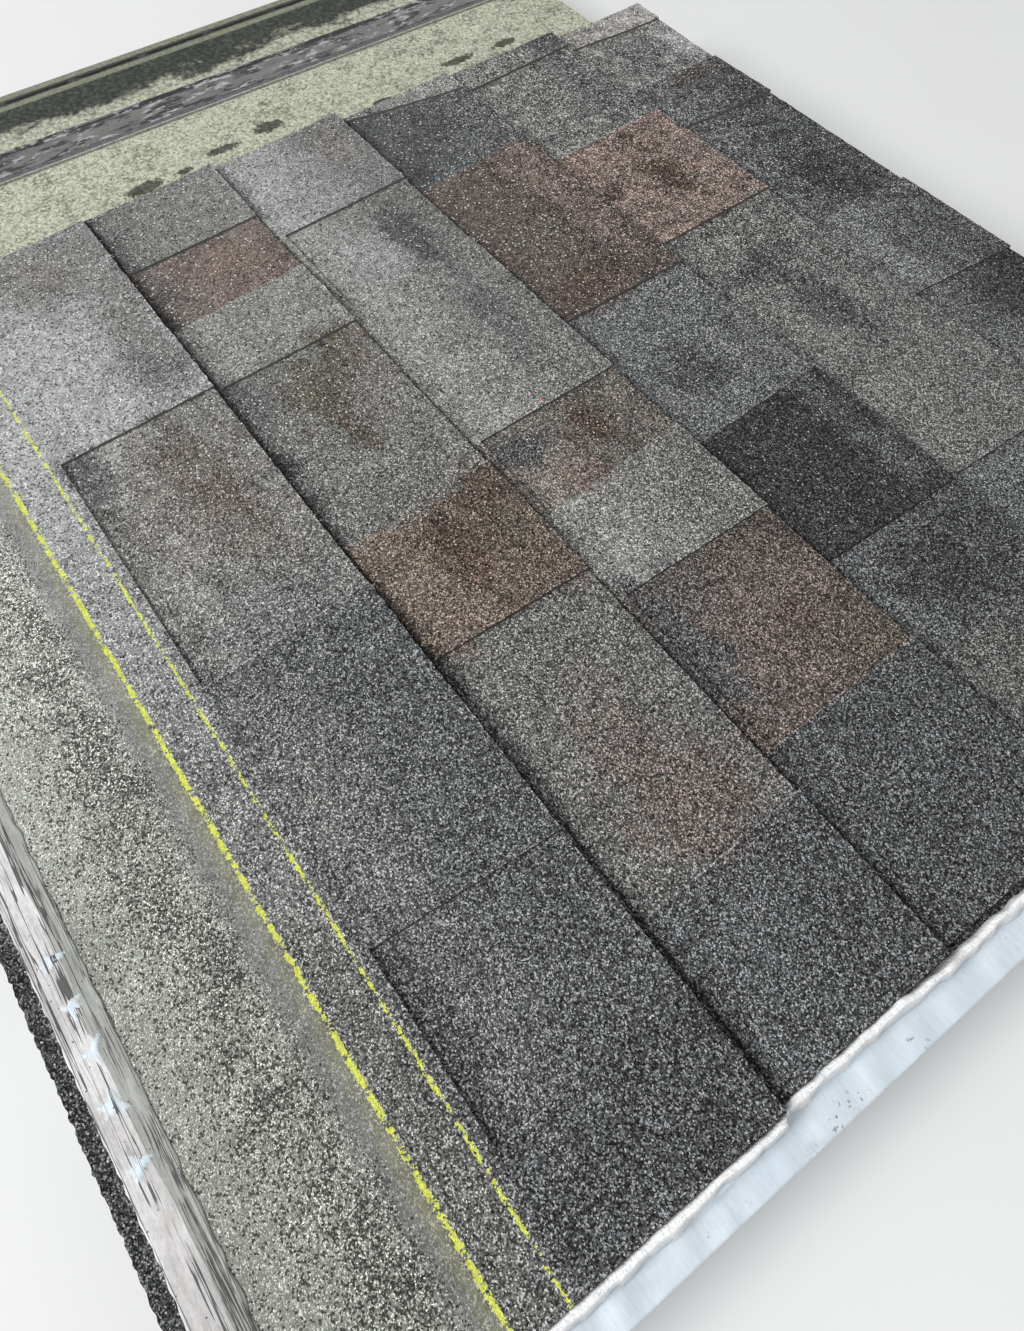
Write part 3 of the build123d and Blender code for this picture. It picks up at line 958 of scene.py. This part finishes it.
def tape_finish():
    """Pale film with a duller strip on its inner side, thin black creases along it and dark edge lines."""
    finish = Finish("release tape", roughness=0.5, specular=0.4)
    across = (finish.y - tape_low.y) / (tape_high.y - tape_low.y)
    sway = finish.noise(50, 4.0, (0.5, 1.0)) - 0.5
    cloud = finish.noise(26, 5.0, (0.5, 1.0), 0.65)
    fine = finish.noise(1.5, 4.0, (0.5, 1.0), 0.7)
    grey = finish.mix(cloud.rise(0.35, 0.65), (184, 181, 179), (218, 216, 215))
    dull = (across + sway * 0.35).rise(0.6, 0.63)
    toned = finish.mix(dull * (0.9 - cloud * 0.4), grey, (126, 130, 121))
    toned = finish.scaled(toned, 0.66 + fine * 0.68)
    # Painted glint, light blue and white, on the facets of the star creases
    toned = finish.mix(finish.attribute("star", "Fac") * 0.85, toned, (214, 229, 240))
    broken = finish.noise(24, 3.0, (0.4, 1.0)).rise(0.4, 0.5)
    crack = (long_cracks(finish, 8, 0.018) + long_cracks(finish, 3.4, 0.02) * (0.3 + dull * 0.6)) * broken
    worn = finish.noise(14, 3.0, (0.3, 1.0)).rise(0.38, 0.46)
    edge = (across + sway * 0.08).band(0.035, 0.008, 0.012) + (across + sway * 0.1).band(0.95, 0.008, 0.012)
    spot = (finish.cells(6, "Distance") < 0.1) * (finish.lot(6) < 0.5)
    dark = (crack + edge * worn + spot * 0.9).clamped()
    finish.paint(finish.mix(dark * 0.88, toned, (40, 39, 40)), 0.45 + cloud * 0.2)
    finish.relief(cloud * 0.4 + fine * 0.2 - crack * 0.3, 0.5 * mm, 0.5)
    return finish.material


tape_film = tape_finish()
print("tape nodes:", len(tape_film.node_tree.nodes))

# %% Release tape
# Star-shaped creases, which get a painted glint, and where they sit, in millimetres from the near line
tape_stars = [197, 232, 265, 300, 333]
# The tape's height over the face, and how high its edge ridges, its slow waves and the stars rise
tape_gap = 0.25 * mm
edge_ridge = 0.5 * mm
slow_wave = 0.16 * mm
star_height = 0.8 * mm
# How far its two edges run in and out, and its thickness
frill = 0.6 * mm
tape_thickness = 0.2 * mm


def star_rays(x, y):
    """0..1 on the rays of the star creases: thin in angle, fading over about a centimetre."""
    rays = np.zeros_like(x)
    draw = np.random.default_rng(9)
    for place in tape_stars:
        dx = near_line - place * mm - x + draw.uniform(-3, 3) * mm
        dy = y - tape_low.y - draw.uniform(12, 17) * mm
        distance = np.hypot(dx, dy)
        turn = np.arctan2(dy, dx)
        for ray in draw.uniform(0, 2 * np.pi) + np.array([0.0, 0.8, 1.9, 4.0]):
            off = np.abs((turn - ray + np.pi) % (2 * np.pi) - np.pi) * distance
            long = draw.uniform(7, 13) * mm
            half = draw.uniform(3.2, 5.2) * mm * np.clip(1 - distance / long, 0, 1)
            here = ease(half - off, -0.4 * mm, 0.6 * mm) * (distance < long) * draw.uniform(0.5, 1)
            rays = np.maximum(rays, here)
    return rays


def release_tape():
    """Height: the face below plus a low ridge along each edge and a star of ridges at each crease."""
    x = np.linspace(tape_low.x, tape_high.x, 700)
    y = np.linspace(tape_low.y, tape_high.y, 31)
    x, y = np.meshgrid(x, y)
    level = np.interp(y, *lines[0]) + tape_gap
    across = (y - tape_low.y) / (tape_high.y - tape_low.y)
    edges = np.exp(-((across - 0.04) / 0.06) ** 2) + np.exp(-((across - 0.97) / 0.05) ** 2)
    height = edges * edge_ridge * (0.6 + 0.4 * wander(x, 0, 45, 3))
    height = height + slow_wave * wander(x * 0.12, y, 5, 4)
    stars = star_rays(x, y)
    height = height + star_height * stars
    in_out = (1 - across) ** 4 * wander(x, 0, 13, 5) + across**4 * wander(x, 0, 17, 6)
    points = np.stack([x, y + frill * in_out, level + np.clip(height, 0, None)], -1)
    made = mesh_object("release_tape", points, grid_faces(*x.shape), [tape_film], smooth=True)
    # The star rays also say where the finish puts its painted glint
    set_number(made, "star", stars)
    return made


tape = give_thickness(release_tape(), tape_thickness)
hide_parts("course_1_release_tape")
print("tape faces:", len(tape.data.polygons))

# %% [markdown]
# The film wraps. Each closed bundle is shrunk into a sleeve of white film whose ends draw in to an oval
# eye. A cloth simulation could shrink one, but a formula gives the same film each run. The sleeve is one
# surface: a section carried along the bundle, then blended at each end to the outline of the eye.
# Tension folds run from the eye to the corners, and the long sides belly out.

# %% Film finish
def film_finish():
    """Clouded white, smudged and gritty; the mesh says where it is shaded and where the lip is."""
    finish = Finish("white film", roughness=0.34, specular=0.5)
    cloud = finish.noise(40, 3.0)
    white = finish.mix(cloud, (206, 219, 230), (230, 237, 242))
    smudge = finish.noise(22, 5.0, (1.0, 0.5)).rise(0.58, 0.8)
    soiled = finish.mix(smudge * 0.4, white, (150, 168, 184))
    grit = (finish.cells(11, "Distance") < 0.045) * 0.7
    crumple = finish.noise(4, 4.0, (0.7, 1.0), 0.7)
    rolled = finish.attribute("lip", "Fac")
    soiled = finish.scaled(soiled, finish.attribute("shade", "Fac"))
    # The rolled lip gets a painted highlight, a brighter white, with painted shade in its crumples
    lip_highlight = finish.mix(crumple.rise(0.45, 0.28) * 0.4, (243, 243, 243), (150, 158, 166))
    soiled = finish.mix(rolled, soiled, lip_highlight)
    outside = finish.x.rise(near_line + 12 * mm, near_line + 24 * mm)
    scuff = finish.noise(4, 4.0, roughness=0.7).rise(0.6, 0.64) * finish.noise(45).rise(0.52, 0.62)
    soiled = finish.mix(scuff * outside * 0.8, soiled, (70, 74, 78))
    finish.paint(finish.mix(grit, soiled, (48, 46, 44)), 0.28 + cloud * 0.16)
    crease = finish.noise(16, 5.0, (1.0, 0.45))
    across = finish.noise(7, 4.0, (0.25, 1.0)) * finish.x.rise(near_line + 6 * mm, near_line + 9 * mm)
    finish.relief(crease * 0.7 + crumple * rolled * 0.9 + across * 0.35, 2.2 * mm, 0.8)
    return finish.material


film = film_finish()
print("film nodes:", len(film.node_tree.nodes))


# %% Section of the sleeve, and outline of the eye
def sleeve_section(half, height, count, gather, belly=1.5 * mm, corner=1.6 * mm):
    """Places x, z round a rounded rectangle with bellied sides; points gather on top beyond x = gather."""
    inner = half - belly
    turn = np.linspace(0, np.pi / 2, 9)
    upright = np.linspace(0, 1, 21)[1:-1]
    right_x = np.concatenate([
        [0.0],
        inner - corner + corner * np.sin(turn),
        inner + belly * np.sin(np.pi * upright),
        inner - corner + corner * np.cos(turn),
        [0.0],
    ])
    right_z = np.concatenate([
        [0.0],
        corner - corner * np.cos(turn),
        corner + (height - 2 * corner) * upright,
        height - corner + corner * np.sin(turn),
        [height],
    ])
    x = np.concatenate([right_x, -right_x[-2:0:-1], [0.0]])
    z = np.concatenate([right_z, right_z[-2:0:-1], [0.0]])
    run = np.concatenate([[0], np.cumsum(np.hypot(np.diff(x), np.diff(z)))])
    fine = np.linspace(0, run[-1], 6001)
    weight = 1 + 11 * ((np.interp(fine, run, x) > gather) & (np.interp(fine, run, z) > height - corner))
    spent = np.cumsum(weight) - weight[0]
    even = np.interp(np.linspace(0, spent[-1], count + 1)[:-1], spent, fine)
    return np.interp(even, run, x), np.interp(even, run, z), even / run[-1]


def eye_outline(share, width=236 * mm, height=34 * mm):
    """Places round a slot, from its bottom middle: a straight, a half circle, two straights and so on."""
    straight, radius = (width - height) / 2, height / 2
    starts = np.cumsum([0, straight, np.pi * radius, 2 * straight, np.pi * radius])
    run = share * (starts[-1] + straight)
    leg = np.searchsorted(starts, run, side="right") - 1
    run = run - starts[leg]
    turn = run / radius
    round_end = straight + radius * np.sin(turn)
    x = np.choose(leg, [run, round_end, straight - run, -round_end, run - straight])
    z = radius * np.choose(leg, [-1 + 0 * run, -np.cos(turn), 1 + 0 * run, np.cos(turn), -1 + 0 * run])
    return x, z


print("eye, half of its width:", round(float(eye_outline(np.linspace(0, 1, 81))[0].max()), 3))

# %% Sleeve from eye to eye
# The film's end stands this far before the stack's, and turns in round its rim in these steps
end_proud = 0.3 * mm
rim_steps = np.array([0.15, 0.5, 1.0, 1.7]) * mm


def sleeve(node, rows, count, seed, gather=1.0):
    """Sections along Y, closed at each end by rows that turn in at the rim and shrink to the eye."""
    low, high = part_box(node)
    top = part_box("second_bundle_wrap")[1].z
    centre = (low.x + high.x) / 2
    half, length = (high.x - low.x) / 2, (high.y - low.y) / 2
    section_x, section_z, share = sleeve_section(half, top, count, gather - centre)
    eye_x, eye_z = eye_outline(share)
    gap = np.hypot(section_x - eye_x, section_z - top / 2 - eye_z)
    turned = rim_steps[:, None] / gap
    drawn = turned[-1] + (1 - turned[-1]) * np.linspace(0, 1, 12)[1:, None] ** 1.4
    end = np.concatenate([turned, drawn])
    inward = np.concatenate([end[::-1], np.zeros((rows, count)), end])
    distance = inward * gap
    rounding = rim_steps[-1]
    fall = rounding * (1 - np.sqrt(1 - (1 - np.clip(distance / rounding, 0, 1)) ** 2))
    reach = length + end_proud
    body = np.linspace(rounding - reach, reach - rounding, rows)
    side = np.concatenate([np.full(len(end), -1.0), np.zeros(rows), np.full(len(end), 1.0)])[:, None]
    y = np.concatenate([np.zeros(len(end)), body, np.zeros(len(end))])[:, None] + side * (reach - fall)
    x = section_x + (eye_x - section_x) * inward
    z = section_z + (eye_z + top / 2 - section_z) * inward
    angle = np.arctan2(section_z - top / 2, section_x * top / half / 2)[None]
    folds = np.sin(angle * 17 + 3 * wander(angle * 0.1, 0, 200, seed)) * inward**0.5
    y = y + side * 0.5 * mm * (1 + folds) * ease(distance, rounding, 8 * mm)
    return x + centre, y, z, inward, top


print("rim steps:", len(rim_steps))


# %% [markdown]
# The near wrap's lip. Beside the ends of the shingles the film was lifted and rolled back on itself, so
# it stands up as a thick pale bead with a lapped fold beyond it. It follows the ends of the courses and
# their levels, which are read from the frame, and it is a ridge in the same grid, so it can't come loose.

# %% Near wrap with its lip
# How far the lip's middle and the fold stand off the shingle ends, how wide the lip is on its inner and
# its outer side, and how high the fold and the wrinkles are
lip_off = 3 * mm
lip_inner = 3.0 * mm
lip_outer = 4.4 * mm
fold_off = 8.5 * mm
fold_height = 1.1 * mm
wrinkle_height = 0.7 * mm


def over_courses(y, shift, floor, value):
    """The largest value of the courses that lie at each place, softened over three places down the slope."""
    total = 0
    for at in (y - shift, y, y + shift):
        most = np.full(y.shape, floor)
        for n in range(courses):
            covers = (at > butts[n] - shingle_height) & (at < butts[n])
            most = np.maximum(most, np.where(covers, value(n, at), most))
        total = total + most / 3
    return total


def wrap_mesh(name, x, y, z):
    """Film from a sleeve's grid, whose last column joins its first."""
    faces = grid_faces(*x.shape, closed=True)[:, ::-1]
    return mesh_object(name, np.stack([x, y, z], -1), faces, [film], smooth=True)


def near_wrap():
    """The sleeve with a rolled lip beside the shingle ends, a lapped fold and wrinkles across the strip."""
    x, y, z, inward, top = sleeve("near_bundle_wrap", 230, 150, 21, near_line - 3 * mm)
    on_top = ease(z, top - 1.5 * mm, top - 0.2 * mm) * (1 - ease(inward, 0.0, 0.1))
    ends = over_courses(y, 3 * mm, near_line - 6 * mm, lambda n, at: near_ends[n])
    level = over_courses(y, 4 * mm, 83 * mm, lambda n, at: np.interp(at, *lines[n]))
    place = ends + lip_off + 0.4 * mm * wander(y, 0, 40, 12) + 0.5 * mm * wander(y, 0, 12, 15)
    width = np.where(x < place, lip_inner, lip_outer) * (1 + 0.18 * wander(y, 0, 16, 13))
    tall = level - top + 0.5 * mm + 0.5 * mm * wander(y, 0, 14, 14)
    ridge = tall * np.exp(-((x - place) / width) ** 4)
    fold_x = ends + fold_off + 3 * mm * wander(y, 0, 110, 33)
    fold = fold_height * (1 - ease(x, fold_x - 0.7 * mm, fold_x + 0.7 * mm)) * ease(x, place, place + 1 * mm)
    wrinkle = np.clip(wander(y, x * 0.2, 15, 31), 0, None) ** 1.5 * np.clip(wander(y, 0, 90, 32) + 0.6, 0, 1)
    wrinkle = wrinkle_height * wrinkle * ease(x, fold_x, fold_x + 3 * mm)
    z = z + on_top * (ridge + fold + wrinkle)
    made = wrap_mesh("near_wrap", x, y, z)
    # Painted shade on the strip: lighter before the fold, a painted shadow line along its crease, and
    # painted shade in the wrinkles beyond
    crease = np.exp(-(((x - fold_x) / (0.8 * mm)) ** 2)) * np.clip(0.75 + 0.5 * wander(y, 0, 40, 35), 0.2, 1)
    band = ease(x, fold_x - 0.5 * mm, fold_x + 1.5 * mm)
    wrinkle_shade = wander(y + 0.4 * x, x * 0.3, 22, 36)
    shade = 0.34 * (1 - band) - 0.25 * crease - 0.07 * wrinkle_shade * band
    set_number(made, "shade", 0.88 + on_top * shade)
    lip = on_top * ease(place + 1.5 * width - x, 0, 1.5 * mm) * (x > near_line - 8 * mm)
    set_number(made, "lip", lip)
    return made


near_film = near_wrap()
print("near wrap:", len(near_film.data.polygons), "faces")


# %% The three wraps
def hidden_wrap(name, node, seed):
    """The plain sleeve of a bundle that lies under the courses."""
    made = wrap_mesh(name, *sleeve(node, 60, 120, seed)[:3])
    set_number(made, "shade", 0.88)
    return made


film_thickness = 0.4 * mm
wraps = [
    (near_film, "near_bundle_wrap"),
    (hidden_wrap("second_wrap", "second_bundle_wrap", 22), "second_bundle_wrap"),
    (hidden_wrap("third_wrap", "third_bundle_wrap", 23), "third_bundle_wrap"),
]
for piece, node in wraps:
    give_thickness(piece, film_thickness)
    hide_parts(node)
    print(piece.name, "instead of", node)


# %% [markdown]
# The opened bundle. Its shingles lie face down, so the uppermost shows its back: sand over the asphalt, a
# smooth coated band where the backing ply is, a strip of film, and the row of sealant dashes that will
# glue down the next course on the roof. All of these are bands at set distances from its outer edge, so
# one finish works them out from the X coordinate.

# %% Back of the uppermost shingle
outer_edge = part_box("back_shingle_top_ply")[0].x


def back_finish():
    """Bands by distance from the outer edge: margin, stripe, dark coat, sand and the inner edge."""
    finish = Finish("back of the backing ply", roughness=0.8, specular=0.35)
    inwards = finish.x - outer_edge
    fine = finish.lot(1.6)
    rough = finish.noise(34, 5.0, (1.0, 0.6), 0.6) - 0.5
    small = finish.noise(6, 4.0, roughness=0.65)
    edge = inwards + rough * 120 * mm + (small - 0.5) * 16 * mm
    coat = finish.mix(small.rise(0.4, 0.65), (43, 46, 40), (76, 79, 70))
    sandy = finish.mix(small.rise(0.35, 0.6), (128, 131, 112), (184, 187, 168))
    dusted = finish.mix(edge.rise(74 * mm, 100 * mm), coat, sandy)
    margin = finish.mix(finish.noise(8, 3.0), (112, 116, 100), (140, 143, 124))
    stripe = (1 - inwards.rise(9 * mm, 12 * mm)) + inwards.band(27 * mm, 5 * mm, 4 * mm)
    toned = finish.mix(stripe.clamped(), dusted, margin)
    inner_edge = inwards.rise(backing_height - 11 * mm, backing_height - 9 * mm)
    toned = finish.mix(inner_edge, toned, finish.mix(small, (58, 58, 60), (120, 120, 122)))
    rim_line = inwards.rise(backing_height - 2.5 * mm, backing_height - 1.5 * mm) * 0.8
    toned = finish.mix(rim_line, toned, (176, 178, 168))
    finish.paint(finish.scaled(toned, 0.68 + fine * 0.64), 0.7)
    finish.relief(fine + rough, 0.4 * mm, 0.5)
    return finish.material


print("outer edge of the opened bundle:", round(outer_edge, 4))


# %% Film band and sealant on the back
def band_finish():
    """Grey film; noises drawn out along its length tear it to black and fleck it with white."""
    finish = Finish("release film on the back", roughness=0.4, specular=0.5)
    inwards = finish.x - outer_edge
    streak = finish.noise(12, 6.0, (1.0, 0.3), 0.7)
    long = finish.noise(14, 3.0, (1.0, 0.12))
    grey = finish.mix(long, (82, 83, 80), (130, 131, 127))
    torn = (inwards + (streak - 0.5) * 26 * mm).band(115 * mm, 4 * mm, 3 * mm)
    black = (streak.rise(0.5, 0.56) * 0.85 + torn).clamped()
    darkened = finish.mix(black, grey, (24, 24, 25))
    fleck = finish.noise(8, 6.0, (1.0, 0.35), 0.74).rise(0.54, 0.6)
    finish.paint(finish.mix(fleck * 0.8, darkened, (182, 182, 180)), 0.35 + streak * 0.3)
    finish.relief(streak + long * 0.5, 1.2 * mm, 0.7)
    return finish.material


def sealant_finish():
    """Nearly black and half glossy, with a slow flow in its relief and its roughness."""
    finish = Finish("sealant", roughness=0.22, specular=0.5)
    flow = finish.noise(6, 3.0)
    finish.paint(finish.mix(flow.rise(0.5, 0.8) * 0.4, (9, 9, 10), (34, 34, 35)), 0.3 + flow * 0.2)
    finish.relief(flow, 0.8 * mm, 0.6)
    return finish.material


back_film = band_finish()
print("film band nodes:", len(back_film.node_tree.nodes))


# %% Dark patches, and the repainted nodes
def repaint(node, material):
    """A CAD node keeps its shape and only gets a better material."""
    mesh = nodes[node].data
    mesh.materials.clear()
    mesh.materials.append(material)


# Dark patches beside the far ends, in millimetres: along from the near line, up from the first butt edge,
# half length and half height
dark_patches = [
    (1066, -86, 12, 26),
    (1068, -136, 5, 12),
    (1080, -190, 8, 24),
    (1088, -252, 12, 22),
    (1053, -386, 7, 16),
    (1073, -510, 8, 26),
    (1072, -580, 8, 20),
]
pale_sand = sand_finish("pale back sand", (179, 181, 161), (112, 116, 98), 0.47, dark_patches)
repaint("back_shingle_top_ply", pale_sand)
repaint("back_shingle_backing_ply", back_finish())
repaint("back_shingle_film_band", back_film)
print("stains:", len(dark_patches))


# %% [markdown]
# Sealant dashes. Hot asphalt is laid on in short strips that stand up like flattened beads. A scaled ball
# would be pointed at its ends, so a strip is a closed grid: a rounded profile across, carried along at
# full width until just before both ends.

# %% Sealant beads
dash_low, dash_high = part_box("back_shingle_sealant")
dash_length = 82 * mm
dash_pitch = 91 * mm
bead_height = 0.9 * mm
dash_count = round((dash_high.y - dash_low.y + dash_pitch - dash_length) / dash_pitch)


def sealant_beads():
    """Each bead: half width times cos u across, height times sin u above, and nearly flat below."""
    across = np.linspace(0, 2 * np.pi, 15)[:-1]
    along = np.linspace(-1, 1, 33)
    middle = (dash_low.x + dash_high.x) / 2
    width = (dash_high.x - dash_low.x) / 2
    points, faces, start = [], [], 0
    for count in range(dash_count):
        centre = dash_low.y + dash_length / 2 + count * dash_pitch
        end = np.sqrt(np.clip(1 - np.abs(along) ** 14, 0, 1))[:, None]
        rag = 1 + 0.14 * wander(along * 0.04, 0.1 * count, 12, 51)[:, None]
        y = centre + along[:, None] * dash_length / 2 * 0.995 + 0 * across
        x = middle + width * 0.9 * end * rag * np.cos(across) + 0.4 * mm * wander(y, 0, 40, 52)
        rise = np.where(np.sin(across) > 0, bead_height, 0.05 * mm) * np.sin(across)
        z = dash_low.z + 0.05 * mm + end * rise
        points.append(np.stack([x, y, z], -1).reshape(-1, 3))
        faces.append(grid_faces(*x.shape, closed=True)[:, ::-1] + start)
        start += x.size
    points, faces = np.concatenate(points), np.concatenate(faces)
    return mesh_object("sealant_beads", points, faces, [sealant_finish()], smooth=True)


beads = sealant_beads()
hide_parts("back_shingle_sealant")
print("beads:", dash_count)

# %% [markdown]
# The stacks. Inside the film and in the opened bundle, only the edges of the plies show. They keep their
# CAD shapes, because the opened bundle's has every layer already, and take a finish of cut asphalt.

# %% Stacks
stack_edge = cut_edge_finish("cut edges of the stacks", 0.0)
stacks = [node for node in nodes if node.endswith("_bundle_stack") or node.startswith("open_stack_")]
for node in stacks:
    repaint(node, stack_edge)
print("stacks repainted:", len(stacks))


# %% [markdown]
# The view. The camera stands over the near bundle and looks steeply down along the courses, so that the
# faces of the shingles fill the frame. Its place is given from the near line, the first butt edge and the
# level of the laid shingles, so it moves with them, and its axes by where it looks and where its right is.

# %% Camera
def placed(axes, place):
    """The matrix of an object whose own axes are the columns of a 3 by 3 array."""
    return Matrix([[*axes[row], place[row]] for row in range(3)] + [[0, 0, 0, 1]])


camera_data = bpy.data.cameras.new("camera")
camera = add_object("camera", camera_data)
bpy.context.scene.camera = camera
display_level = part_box(tops[0])[1].z - ply
look = np.array([-0.39183, 0.28389, -0.87514])
right = np.array([0.59061, 0.80695, -0.00267])
up = np.cross(right, look)
turn = np.stack([right, up, -look], 1)
inside_near_line = 70.6 * mm
above_first_butt = 139.4 * mm
eye_level = 573 * mm
stand = (near_line - inside_near_line, first_butt - above_first_butt, display_level + eye_level)
camera.matrix_world = placed(turn, stand)
camera_data.sensor_fit = "VERTICAL"
camera_data.sensor_height = 36
camera_data.lens = 24.19
camera_data.clip_start = 10 * mm
print("camera at", [round(v, 3) for v in camera.location])


# %% [markdown]
# Light. An overcast sky gives even light with one brighter side. A small lamp would draw hard shadows
# under every edge. A large soft one from up the slope, with a pale sky all round, keeps them thin. The
# floor is plain and pale.

# %% Light and floor
lamp_place = np.array([-0.7, -5.8, 4.3])
lamp_aim = np.array([0, 0, 0.08])
lamp_data = bpy.data.lights.new("sky side", "AREA")
lamp_data.size = 2.8
lamp_data.energy = 480
lamp = add_object("sky side", lamp_data)
backward = (lamp_place - lamp_aim) / np.linalg.norm(lamp_place - lamp_aim)
sideways = np.cross([0, 0, 1], backward)
sideways = sideways / np.linalg.norm(sideways)
lamp.matrix_world = placed(np.stack([sideways, np.cross(backward, sideways), backward], 1), lamp_place)

world = bpy.data.worlds.new("sky")
world.use_nodes = True
bpy.context.scene.world = world
sky = world.node_tree.nodes["Background"]
sky.inputs["Color"].default_value = (0.96, 0.98, 1.0, 1)
sky.inputs["Strength"].default_value = 0.58

floor_mesh = bpy.data.meshes.new("floor")
reach = 4.0
floor_mesh.from_pydata(
    [(-reach, -reach, 0), (reach, -reach, 0), (reach, reach, 0), (-reach, reach, 0)], [], [(0, 1, 2, 3)]
)
floor = add_object("floor", floor_mesh)
floor_finish = Finish("floor", roughness=0.9, specular=0.2)
floor_finish.paint(floor_finish.mix(floor_finish.noise(300), (226, 226, 224), (232, 232, 231)))
floor_mesh.materials.append(floor_finish.material)

bpy.context.scene.view_settings.view_transform = "Standard"
print("light and floor ready")
